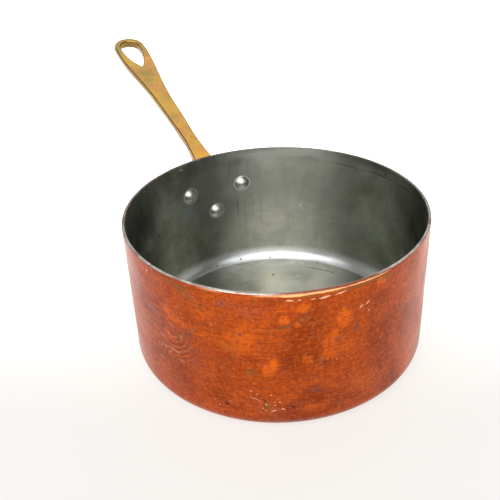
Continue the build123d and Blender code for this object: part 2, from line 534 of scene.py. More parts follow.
    def make(self) -> bpy.types.Material:
        """Build the material.

        Returns:
            The finished material.
        """
        sheet = NodeSheet("worn_copper", self.clean)
        self._tarnish(sheet)
        brushing = sheet.noise(55, 4, 0.65, at=sheet.stretch((1, 1, 34)))
        sheet.lay(self.deep, sheet.curve(brushing, 0.50, 0.32, 0.0, 0.62))
        sheet.lay(self.bright, sheet.curve(brushing, 0.53, 0.70, 0.0, 0.42))
        grit = sheet.noise(430, detail=5, rough=0.72)
        sheet.lay(self.deep, sheet.curve(grit, 0.50, 0.36, 0.0, 0.55))
        sheet.lay(self.bright, sheet.curve(grit, 0.52, 0.66, 0.0, 0.50))
        sheet.lay(self.deep, sheet.times(self._ripples(sheet, 0.0), self.ripple_shade))
        sheet.lay(self.bright, sheet.times(self._ripples(sheet, 0.5), self.ripple_shine))
        sheet.lay(self.worn, sheet.times(self._scratches(sheet), self.scratch_strength))
        self._speckle(sheet)
        self._edge(sheet)
        hazy = sheet.curve(sheet.noise(40, 4, 0.6), 0.35, 0.7, 0.0, 0.10)
        rough = sheet.math("ADD", sheet.curve(brushing, 0.3, 0.7, 0.24, 0.36), hazy)
        relief = sheet.bump(brushing, self.grain_depth)
        relief = sheet.bump(sheet.noise(36, 3, 0.5), self.dent_depth, relief, 0.5)
        sheet.set(Coat_Weight=self.coat, Coat_Roughness=self.coat_haze)
        return sheet.finish(Metallic=1.0, Roughness=rough, Normal=relief)

    def _tarnish(self, sheet: NodeSheet) -> None:
        """Cloud the old polish and stain it.

        Args:
            sheet: The material's nodes.
        """
        clouds = sheet.noise(22, detail=6, rough=0.62, warp=0.5)
        sheet.lay(self.deep, sheet.curve(clouds, 0.44, 0.66))
        far = sheet.noise(11, detail=4, rough=0.6, warp=0.8)
        sheet.lay(self.mauve, sheet.curve(far, 0.52, 0.70, 0.0, 0.32))
        sheet.lay(self.bright, sheet.curve(far, 0.42, 0.30, 0.0, 0.55))
        blotches = sheet.noise(48, detail=5, rough=0.6, warp=0.6)
        sheet.lay(self.olive, sheet.curve(blotches, 0.60, 0.72, 0.0, 0.40))
        stirred = sheet.ragged(sheet.ragged(sheet.wall, 70, 4.5 * MM), 330, 1.6 * MM)
        thinned = sheet.curve(sheet.noise(240, detail=5, rough=0.7), 0.34, 0.54, 0.60, 1.0)
        for tone, stains in (
            (self.mauve, self.mauve_marks),
            (self.bright, self.bright_marks),
            (self.olive, self.olive_marks),
            (self.slate, self.slate_marks),
        ):
            sheet.lay(tone, sheet.times(sheet.spots(stirred, stains), thinned))

    def _scratches(self, sheet: NodeSheet) -> Socket:
        """Give fine scratches: round the wall all over, and crossed or swirled in patches.

        Args:
            sheet: The material's nodes.

        Returns:
            1 on the scratches and 0 away from them.
        """
        every = sheet.curve(sheet.noise(150, 5, 0.72, 0.2, at=sheet.stretch((1, 1, 20))), 0.57, 0.70)
        for patch in self.crossings:
            along = sheet.stretch((1, 14, 1), (0, 0, -patch.turn), sheet.wall)
            lines = sheet.curve(sheet.noise(150, 4, 0.65, 0.3, at=along), 0.57, 0.69)
            lines = sheet.times(lines, sheet.spot(sheet.wall, replace(patch, turn=0.0)))
            every = sheet.math("MAXIMUM", every, lines)
        swirl = sheet.line(sheet.noise(34, 2, 0.5, 1.2, at=sheet.stretch((1, 1, 2.2))), 0.5, 0.02)
        return sheet.math("MAXIMUM", every, sheet.times(swirl, sheet.spot(sheet.wall, self.swirled)))

    def _ripples(self, sheet: NodeSheet, phase: float) -> Socket:
        """Give the arcs that a cloth has left round one point of the wall.

        Args:
            sheet: The material's nodes.
            phase: How far the arcs are shifted, as a part of their spacing.

        Returns:
            1 on the arcs and 0 away from them.
        """
        around = outward(math.radians(self.ripple_bearing)) * PAN_RADIUS
        reach = sheet.distance((around.x, around.y, self.ripple_height))
        steps = sheet.math("DIVIDE", reach, self.ripple_spacing)
        uneven = sheet.math("ADD", sheet.times(sheet.noise(60, 3, 0.6), 1.3), phase)
        waves = sheet.math("SINE", sheet.times(sheet.math("ADD", steps, uneven), math.tau))
        return sheet.times(sheet.curve(waves, 0.35, 0.85), sheet.spot(sheet.wall, self.rippled))

    def _speckle(self, sheet: NodeSheet) -> None:
        """Lay the small marks: flecks, pits with their halos, and bright spots that are partly worn copper
        and partly painted highlight.

        Args:
            sheet: The material's nodes.
        """
        crumbled = sheet.ragged(sheet.wall, 900, 0.45 * MM)
        cells = sheet.node("TexVoronoi", {"Vector": sheet.wall, "Scale": 420}, "Distance")
        thinned = sheet.curve(sheet.noise(330, 3, 0.6), 0.52, 0.60)
        specks = sheet.times(sheet.curve(cells, 0.30, 0.14), thinned)
        flecks = sheet.times(specks, sheet.spots(sheet.wall, self.flecked))
        sheet.lay(self.worn, sheet.times(flecks, self.fleck_strength))
        # the bright spots are partly worn copper and partly painted highlight
        for tone, small in ((self.mauve, self.halos), (self.dark, self.pits), (self.worn, self.worn_spots_and_glints)):
            sheet.lay(tone, sheet.spots(crumbled, small))

    def _edge(self, sheet: NodeSheet) -> None:
        """Lay a painted shadow darkening towards the rim, a painted highlight band along the rim's edge, a
        painted shadow band below it, and the tin that has run over the cut edge.

        Args:
            sheet: The material's nodes.
        """
        height = sheet.axis("Z")
        # painted shadow: the copper darkens towards the rim's top
        sheet.lay(self.deep, sheet.curve(height, PAN_HEIGHT - 2.2 * MM, PAN_HEIGHT - 0.7 * MM, 0.0, 0.5))
        crumbled = sheet.ragged(sheet.wall, 500, 0.35 * MM)
        # painted shadow: a dark olive band just below the rim's edge
        sheet.lay(self.olive, sheet.spots(crumbled, self.rim_shadow_marks))
        # painted highlight: a thin bright gold band along the rim's rolled edge
        sheet.lay(self.rim_highlight_gold, sheet.spots(crumbled, self.rim_highlight_marks))
        wiped = sheet.curve(sheet.noise(70, 4, 0.6), 0.40, 0.56, 0.45, 1.0)
        wiped = sheet.times(wiped, sheet.math("SUBTRACT", 1.0, sheet.spot(sheet.wall, self.bare_rim)))
        cut = sheet.curve(height, PAN_HEIGHT - 0.42 * MM, PAN_HEIGHT - 0.12 * MM)
        sheet.lay(self.tin, sheet.times(cut, wiped))


@dataclass(frozen=True)
class WipedTin:
    """Tin wiped on by hand and dulled by use, with runs below the rivets, scratches and pits."""

    clean: Triple = (0.52, 0.53, 0.485)
    dull: Triple = (0.36, 0.37, 0.315)
    brown: Triple = (0.23, 0.22, 0.165)
    dark: Triple = (0.06, 0.06, 0.05)
    # the dark of the painted shade on the inner wall
    wall_shade_tone: Triple = (0.078, 0.082, 0.062)
    # the beige of the painted highlight on the floor
    floor_sheen_tone: Triple = (0.70, 0.66, 0.53)
    # the near-white of the painted highlight along the inner corner
    corner_highlight_tone: Triple = (0.94, 0.96, 0.97)
    pale: Triple = (0.92, 0.92, 0.88)
    verdigris: Triple = (0.16, 0.48, 0.46)
    bluish: Triple = (0.42, 0.48, 0.56)

    wall_stains: Marks = marks(
        (285, 78, 40, 20, -8, 0.5), (296, 60, 30, 26, 0, 0.4), (268, 40, 30, 40, 0, 0.5),
        (30, 56, 26, 30, 20, 0.5), (350, 92, 40, 10, 0, 0.45), (318, 92, 50, 9, 0, 0.4),
        core=0.1,
    )
    # painted shade: broad dark patches on the inner wall at its left and right and along its rim
    wall_shade_marks: Marks = marks(
        (50, 55, 110, 150, 0, 0.9, 0.15), (244, 50, 100, 150, 0, 1, 0.3), (14, 62, 95, 130, 0, 0.50, 0.1),
        (275, 22, 60, 40, 0, 0.6, 0.1), (12, 95, 90, 26, 0, 0.55, 0.1), (340, 101, 70, 9, 0, 0.5, 0.1),
        (333, 74, 160, 62, 0, 0.26, 0.1), (260, 55, 70, 120, 0, 0.74, 0.1),
        (285, 101, 90, 16, 0, 0.45, 0.1),
    )
    blue_stains: Marks = marks((15, 60, 20, 18, 0, 0.55), (292, 36, 40, 20, 0, 0.3), core=0.1)
    runs: Marks = marks(
        (349.6, 52, 1.3, 34, 0, 0.75), (346.4, 48, 1.1, 40, 1, 0.65), (342.6, 55, 1.4, 26, 0, 0.45),
        (338.6, 48, 1.3, 34, -1, 0.6), (352.5, 88, 1.8, 18, 4, 0.4), (344, 84, 2.4, 24, -5, 0.4),
        (13, 45, 1.6, 36, 0, 0.35), (0.5, 28, 1.6, 24, 0, 0.35),
        core=0.2,
    )
    seam_line: Marks = marks(
        (298, 91.4, 44, 0.8, 1.5, 0.9), (280, 92.6, 40, 1, -1, 0.95), (262, 93.8, 36, 0.9, -2, 0.8),
        core=0.3,
    )
    wall_pits: Marks = marks(
        (276.9, 94.8, 3.5, 1.5, 10, 0.8), (273.2, 89, 1.6, 2, 0, 0.8), (272.6, 86.6, 1.4, 1.8, 0, 0.8),
        (34.1, 55.6, 2, 3.5, 0, 0.8), (27, 60, 3, 2, 30, 0.45), (24, 63, 2, 2, 0, 0.4),
        (30, 64, 3, 1.6, -30, 0.4), (20, 52, 4, 1.2, 10, 0.35), (315, 94, 1.5, 1.8, 0, 0.5),
    )
    wall_nicks: Marks = marks(
        (319.9, 51.3, 1, 5, 20, 0.9), (285, 58.8, 1.6, 1.4, 0, 0.7), (269.8, 60.1, 1.2, 2, 0, 0.7),
        (16.8, 97.5, 5, 1.4, 10, 0.8), (41, 97.6, 6, 1.3, 10, 0.8), (28, 96.5, 4, 0.9, 0, 0.4),
        (304, 68, 6, 0.6, 30, 0.3),
    )
    green_spot: Marks = marks((277.5, 44.6, 6, 1.8, -10, 0.95, 0.4))
    floor_pits: Marks = marks(
        (63.3, -30.3, 4, 2.2, -40, 0.9), (94.2, -16.6, 1.5, 2.4, 0, 0.85), (95.2, 4.6, 1.5, 2.4, 0, 0.8),
        (85.4, -39.8, 1.8, 2.2, 0, 0.85), (60, -70.4, 2.2, 2, 0, 0.7), (-22, 34, 2.4, 1.8, 0, 0.5),
        (18, 52, 2, 2.6, 0, 0.5),
        on_wall=False,
    )
    # painted highlight: warm beige wedges of sheen on the floor
    floor_sheen_marks: Marks = marks(
        (56, -26, 76, 40, -26, 0.75), (30, -50, 60, 24, -45, 0.45), (10, -10, 50, 44, 0, 0.5),
        on_wall=False,
        core=0,
    )
    # painted shade: dark patches on the floor at its left and right
    floor_shade_marks: Marks = marks(
        (20, 42, 120, 60, -12, 0.7), (52, -62, 60, 26, -45, 0.6), (-10, -60, 60, 40, 0, 0.6),
        on_wall=False,
        core=0.1,
    )
    arc: Mark = Mark(47.0, -66.0, 66, 30, -35, 1.0, 0.5, on_wall=False)
    arc_radius: float = 84 * MM  # of the long scratch on the floor
    arc_width: float = 0.6 * MM
    collar_radius: float = 6.1 * MM  # of the bright ring that the tin forms round each rivet
    collar_width: float = 0.8 * MM
    collar_strength: float = 0.75
    floor_top: float = 8 * MM  # below it the floor's marks are at full strength
    floor_end: float = 14 * MM
    wall_foot: float = 22 * MM  # above it the wall's marks are at full strength
    corner_foot: tuple[float, float] = (2.3 * MM, 3.2 * MM)  # where the painted highlight band at the corner starts
    dent_depth: float = 0.35 * MM
    grain_depth: float = 0.015 * MM
    streak_depth: float = 0.01 * MM
    stretched: float = 0.85  # how far the grain stretches highlights

    def make(self, seats: "list[RivetSeat]") -> bpy.types.Material:
        """Build the material.

        Args:
            seats: Where the rivets pass through the wall.

        Returns:
            The finished material.
        """
        sheet = NodeSheet("wiped_tin", self.clean)
        clouds = sheet.noise(26, detail=7, rough=0.66, warp=0.6)
        sheet.lay(self.dull, sheet.curve(clouds, 0.40, 0.64))
        smears = sheet.noise(52, detail=6, rough=0.7, warp=0.4)
        sheet.lay(self.brown, sheet.curve(smears, 0.52, 0.70, 0.0, 0.50))
        streaks = sheet.noise(150, detail=4, rough=0.6, at=sheet.stretch((1, 1, 0.07)))
        on_wall = sheet.curve(sheet.axis("Z"), self.floor_top, self.wall_foot)
        sheet.lay(self.brown, sheet.times(sheet.curve(streaks, 0.50, 0.68, 0.0, 0.16), on_wall))
        brushing = sheet.noise(70, 4, 0.65, at=sheet.stretch((1, 1, 24)))
        sheet.lay(self.dull, sheet.curve(brushing, 0.5, 0.72, 0.0, 0.25))
        self._stain(sheet, on_wall)
        # painted highlight: a bright band along the round inner corner
        sheet.lay(self.corner_highlight_tone, self._corner_highlight_band(sheet, smears))
        for seat in seats:
            collar = sheet.line(sheet.distance(seat.inside), self.collar_radius, self.collar_width)
            sheet.lay(self.pale, sheet.times(collar, self.collar_strength))
        self._mark_floor(sheet)
        hazy = sheet.curve(smears, 0.4, 0.75, 0.0, 0.08)
        rough = sheet.math("ADD", sheet.curve(clouds, 0.3, 0.7, 0.28, 0.38), hazy)
        relief = sheet.bump(sheet.noise(32, 4, 0.55), self.dent_depth, None, 0.5)
        relief = sheet.bump(brushing, self.grain_depth, relief)
        relief = sheet.bump(streaks, self.streak_depth, relief, 0.5)
        sheet.brush_round(self.stretched)
        return sheet.finish(Metallic=1.0, Roughness=rough, Normal=relief)

    def _stain(self, sheet: NodeSheet, on_wall: Socket) -> None:
        """Lay the wall's painted shade at its left and right, its heat stains, runs, scratches, pits and
        nicks.

        Args:
            sheet: The material's nodes.
            on_wall: 1 on the wall and 0 on the floor.
        """
        stirred = sheet.ragged(sheet.wall, 120, 2.5 * MM)
        crumbled = sheet.ragged(sheet.wall, 700, 0.4 * MM)
        veiled = sheet.curve(sheet.noise(75, 6, 0.7), 0.35, 0.60, 0.70, 1.0)
        # painted shade: darkens the inner wall at its left and right and along its rim
        sheet.lay(self.wall_shade_tone, sheet.times(sheet.times(sheet.spots(stirred, self.wall_shade_marks), veiled), on_wall))
        sheet.lay(self.brown, sheet.spots(stirred, self.wall_stains))
        sheet.lay(self.bluish, sheet.spots(stirred, self.blue_stains))
        for tone, small in (
            (self.brown, self.runs),
            (self.dark, self.seam_line + self.wall_pits),
            (self.pale, self.wall_nicks),
            (self.verdigris, self.green_spot),
        ):
            sheet.lay(tone, sheet.spots(crumbled, small))

    def _corner_highlight_band(self, sheet: NodeSheet, smears: Socket) -> Socket:
        """Give the painted highlight band along the round corner between wall and floor.

        Args:
            sheet: The material's nodes.
            smears: Noise that the band is weaker in.

        Returns:
            The band's strength, and 0 away from it.
        """
        height = sheet.axis("Z")
        low = sheet.curve(height, self.floor_end, self.floor_top)
        band = sheet.times(sheet.curve(height, *self.corner_foot), low)
        return sheet.times(band, sheet.curve(smears, 0.75, 0.35, 0.65, 0.95))

    def _mark_floor(self, sheet: NodeSheet) -> None:
        """Lay the floor's painted shade at its left and right, its painted highlight wedges, its long scratch
        and pits.

        Args:
            sheet: The material's nodes.
        """
        on_floor = sheet.curve(sheet.axis("Z"), self.floor_end, self.floor_top)
        flat = sheet.vector("MULTIPLY", sheet.ragged(sheet.place, 500, 0.4 * MM), LEVEL)
        arc = sheet.line(sheet.measure("LENGTH", flat), self.arc_radius, self.arc_width)
        arc = sheet.times(arc, sheet.spot(flat, self.arc))
        # painted shade: darkens the floor at its left and right
        sheet.lay(self.dull, sheet.times(sheet.spots(flat, self.floor_shade_marks), on_floor))
        # painted highlight: warm beige wedges of sheen on the floor
        sheet.lay(self.floor_sheen_tone, sheet.times(sheet.spots(flat, self.floor_sheen_marks), on_floor))
        pits = sheet.math("MAXIMUM", arc, sheet.spots(flat, self.floor_pits))
        sheet.lay(self.dark, sheet.times(pits, on_floor))


@dataclass(frozen=True)
class TinnedRivet:
    """A copper rivet whose head was tinned with the pan, while its tail outside stayed bare."""

    tin: Triple = (0.66, 0.66, 0.61)
    dull: Triple = (0.44, 0.43, 0.38)
    copper: Triple = (0.58, 0.14, 0.05)
    tarnish: Triple = (0.22, 0.09, 0.05)
    dent_depth: float = 0.05 * MM

    def make(self) -> bpy.types.Material:
        """Build the material.

        Returns:
            The finished material.
        """
        sheet = NodeSheet("tinned_rivet", self.tin)
        clouds = sheet.noise(260, detail=5, rough=0.6, warp=0.3)
        sheet.lay(self.dull, sheet.curve(clouds, 0.42, 0.66, 0.0, 0.8))
        tail = sheet.mix(sheet.curve(clouds, 0.40, 0.62), self.copper, self.tarnish)
        reach = sheet.measure("LENGTH", sheet.vector("MULTIPLY", sheet.place, LEVEL))
        sheet.lay(tail, sheet.curve(reach, PAN_RADIUS, PAN_RADIUS + MM))
        rough = sheet.curve(clouds, 0.3, 0.7, 0.34, 0.46)
        relief = sheet.bump(clouds, self.dent_depth, None, 0.6)
        return sheet.finish(Metallic=1.0, Roughness=rough, Normal=relief)


@dataclass(frozen=True)
class MottledBrass:
    """Cast brass, filed flat on top and mottled with tarnish."""

    gold: Triple = (0.74, 0.43, 0.095)
    pink: Triple = (0.72, 0.34, 0.11)
    yellow: Triple = (0.80, 0.55, 0.14)
    olive: Triple = (0.40, 0.30, 0.10)
    root: Triple = (0.94, 0.48, 0.085)
    # the dark of the painted shade on the handle's sides
    side: Triple = (0.13, 0.080, 0.018)
    dark: Triple = (0.07, 0.035, 0.01)
    root_reach: float = 34 * MM
    patches: tuple[tuple[float, ...], ...] = (
        (186, 6, 26, 0.8), (186, -6, 26, 0.8), (141, 0, 17, 0.85), (128, 3, 13, 0.6), (100, -3, 11, 0.5),
        (74, 3, 10, 0.5),
    )  # distance up the stem, place across it and reach in millimetres, and strength
    pits: tuple[Triple, ...] = (
        (45, -1.5, 1.3), (36, 0.5, 0.8), (112, 2.5, 0.9), (178, 10.5, 0.9),
    )  # the same, all at full strength
    file_depth: float = 0.02 * MM
    dent_depth: float = 0.15 * MM

    def make(self, handle: "CastHandle") -> bpy.types.Material:
        """Build the material.

        Args:
            handle: The handle, whose stem the stains are placed along.

        Returns:
            The finished material.
        """
        sheet = NodeSheet("mottled_brass", self.gold)
        fine = sheet.noise(190, detail=6, rough=0.68, warp=0.5)
        sheet.lay(self.pink, sheet.curve(sheet.noise(55, detail=5, rough=0.62, warp=0.7), 0.46, 0.60))
        sheet.lay(self.yellow, sheet.curve(fine, 0.52, 0.66, 0.0, 0.75))
        sheet.lay(self.olive, sheet.curve(sheet.noise(90, 6, 0.66, 0.6), 0.56, 0.70, 0.0, 0.75))
        sheet.lay(self.root, sheet.near(handle.on_stem(6, 0), self.root_reach))
        crumbled = sheet.curve(fine, 0.34, 0.54, 0.3, 1.0)
        for station, across, reach, strength in self.patches:
            patch = sheet.times(sheet.near(handle.on_stem(station, across), reach * MM), strength)
            sheet.lay(self.olive, sheet.times(patch, crumbled))
        for station, across, reach in self.pits:
            sheet.lay(self.dark, sheet.near(handle.on_stem(station, across), reach * MM))
        slope = math.radians(handle.slope)
        # painted shade: the faces turned away from the stem's top are darkened
        top = sheet.facing((-math.sin(slope), 0.0, math.cos(slope)))
        sheet.lay(self.side, sheet.curve(top, 0.80, 0.25, 0.0, 0.85))
        filed = sheet.noise(420, 3, 0.6, at=sheet.stretch((0.12, 1, 1), (0, handle.slope, 0)))
        relief = sheet.bump(filed, self.file_depth)
        relief = sheet.bump(sheet.noise(120, 4, 0.6), self.dent_depth, relief, 0.6)
        dulled = sheet.curve(filed, 0.4, 0.7, 0.0, 0.06)
        rough = sheet.math("ADD", sheet.curve(fine, 0.3, 0.7, 0.26, 0.38), dulled)
        return sheet.finish(Metallic=1.0, Roughness=rough, Normal=relief)


@dataclass
class Pan:
    """The pan: a copper cup and the tin lining inside it, made alike and pierced for the rivets."""

    segments: int = 384
    wall_rings: int = 30
    floor_rings: int = 9
    corner_steps: int = 12
    rim_steps: int = 3
    copper_wall: float = 1.7 * MM
    tin_wall: float = 0.25 * MM
    corner: float = 10.7 * MM
    rim_round: float = 0.4 * MM
    hole_radius: float = 3.0 * MM
    drill_length: float = 12 * MM
    tall: float = 20 * MM  # longer upright edges are the wall's
    unevenness: float = 0.16 * MM
    uneven_from: float = 30 * MM  # above the corner, where the wall is at its most uneven
    rim_band: float = 1.2 * MM  # the part of the wall that nicks pull down
    nicks: tuple[Triple, ...] = (
        (16.5, 2.6, 0.35), (41.5, 3.4, 0.30), (28, 1.6, 0.22), (104, 2.2, 0.25), (178.5, 1.8, 0.3),
        (181, 1.2, 0.2), (113, 1.6, 0.2), (240, 2.0, 0.2), (305, 2.4, 0.25), (335, 1.4, 0.2),
    )  # bearing in degrees, width and depth in millimetres

    def build(self, seats: "list[RivetSeat]") -> None:
        """Make the copper cup and the tin lining.

        Args:
            seats: Where the rivets pass through the wall.
        """
        copper = self._cup("pan_copper", "copper_body", self.corner, self.copper_wall, seats)
        dress(copper, "copper", WornCopper().make(), "copper_body")
        tin = self._cup("pan_tin", "tin_lining", self.corner - self.copper_wall, self.tin_wall, seats)
        dress(tin, "tin", WipedTin().make(seats), "tin_lining")

    def _cup(self, name: str, node: str, corner: float, wall: float, seats: "list[RivetSeat]") -> Piece:
        """Make one cup with the outer size of a CAD node.

        Args:
            name: The new piece's name.
            node: The CAD node that gives its size.
            corner: The radius between its side and its base.
            wall: How thick it is.
            seats: Where it is pierced.

        Returns:
            The finished cup.
        """
        low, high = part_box(node)
        clear_selection()
        bpy.ops.mesh.primitive_cylinder_add(vertices=self.segments, radius=high.x, depth=high.z - low.z,
                                            location=(0, 0, (low.z + high.z) / 2))
        cup = bpy.context.object
        cup.name = name
        settle(cup)
        self._round_base(cup, low.z, corner)
        self._divide(cup, high.x - corner)
        apply_modifier(cup, "SOLIDIFY", thickness=wall, offset=-1.0, use_even_offset=True)
        if wall > self.rim_round:
            with editing(cup, Pick.EDGES):
                select_edges(cup, lambda a, b: self._on_outer_rim(a, high) and self._on_outer_rim(b, high))
                bpy.ops.mesh.bevel(offset=self.rim_round, segments=self.rim_steps, affect="EDGES")
        for seat in seats:
            self._pierce(cup, seat)
        reshape(cup, self._worn)
        smooth(cup)
        return cup

    def _round_base(self, cup: Piece, foot: float, corner: float) -> None:
        """Open a cylinder's top and round its lower edge.

        Args:
            cup: The cylinder.
            foot: The height of its base.
            corner: The radius that its lower edge gets.
        """
        with editing(cup, Pick.FACES):
            select_faces(cup, lambda middle, normal: normal.z > 0.9)
            bpy.ops.mesh.delete(type="ONLY_FACE")
        with editing(cup, Pick.EDGES):
            select_edges(cup, lambda a, b: a.z < foot + TOUCH and b.z < foot + TOUCH)
            bpy.ops.mesh.bevel(offset=corner, segments=self.corner_steps, affect="EDGES")

    def _divide(self, cup: Piece, flat: float) -> None:
        """Divide the wall into rings, and the base into rings with a closed middle.

        Args:
            cup: The open cylinder with its rounded base.
            flat: The radius of its base's flat part.
        """
        with editing(cup, Pick.EDGES):
            select_edges(cup, lambda a, b: abs(a.z - b.z) > self.tall)
            bpy.ops.mesh.subdivide(number_cuts=self.wall_rings)
        with editing(cup, Pick.FACES):
            select_faces(cup, lambda middle, normal: normal.z < -0.9 and middle.xy.length < MM)
            for _ in range(self.floor_rings):
                bpy.ops.mesh.inset(thickness=flat / (self.floor_rings + 1), depth=0.0)
            bpy.ops.mesh.poke()

    @staticmethod
    def _on_outer_rim(place: Vector, high: Vector) -> bool:
        """Say whether a place is on the outer edge of the rim of a cup with an upper corner."""
        return place.z > high.z - TOUCH and place.xy.length > high.x - TOUCH

    def _pierce(self, cup: Piece, seat: "RivetSeat") -> None:
        """Cut one rivet hole through a cup's wall.

        Args:
            cup: The cup.
            seat: Where the rivet passes through it.
        """
        clear_selection()
        bpy.ops.mesh.primitive_cylinder_add(
            vertices=32, radius=self.hole_radius, depth=self.drill_length,
            location=outward(seat.bearing) * PAN_RADIUS + Vector((0, 0, seat.height)),
            rotation=(0, math.pi / 2, seat.bearing),
        )
        drill = bpy.context.object
        apply_modifier(cup, "BOOLEAN", operation="DIFFERENCE", solver="EXACT", object=drill)
        bpy.data.objects.remove(drill)

    def _worn(self, place: Vector) -> Vector:
        """Say where a point goes on a pan that was spun by hand and used for years.

        Args:
            place: The point on a true pan.

        Returns:
            The point on the worn one.
        """
        reach = place.xy.length
        if reach < TOUCH:
            return place
        side = place.xy / reach
        rise = max(0.0, min(1.0, (place.z - self.corner) / self.uneven_from))
        swell = noise.noise(Vector((side.x * 2.2, side.y * 2.2, place.z * 26))) * self.unevenness * 1.6
        swell += noise.noise(Vector((side.x * 6.0, side.y * 6.0, place.z * 55 + 9))) * self.unevenness * 0.5
        place.xy += side * swell * rise
        if place.z > MM and rise == 0.0 and reach < PAN_RADIUS - self.corner:
            place.z += noise.noise(Vector((place.x * 30, place.y * 30, 4.0))) * self.unevenness * 0.8
        if place.z > PAN_HEIGHT - self.rim_band:
            place.z -= self._nicked(math.degrees(math.atan2(side.y, side.x)))
        return place

    def _nicked(self, bearing: float) -> float:
        """Say how far the nicks lower the rim.

        Args:
            bearing: The place round the rim from the handle, in degrees.

        Returns:
            The depth, in metres.
        """
        depth = 0.0
        for where, width, most in self.nicks:
            apart = math.radians(abs((bearing - where + 180) % 360 - 180)) * PAN_RADIUS
            along = apart / (width * MM / 2)
            depth += most * MM * max(0.0, 1 - along * along)
        return depth


@dataclass(frozen=True)
class RivetSeat:
    """Where a rivet passes through the wall."""

    node: str
    bearing: float  # round the pan from the handle, in radians
    height: float  # above the base, in metres

    @property
    def inside(self) -> Triple:
        """The point where its axis meets the inside of the wall, in metres."""
        reach = PAN_RADIUS - 2 * MM
        return reach * math.cos(self.bearing), reach * math.sin(self.bearing), self.height

    @classmethod
    def of(cls, node: str) -> "RivetSeat":
        """Find the seat of a rivet's CAD node.

        Args:
            node: The CAD node's name.

        Returns:
            The seat.
        """
        low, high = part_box(node)
        middle = (low + high) / 2
        return cls(node, math.atan2(middle.y, middle.x), middle.z)


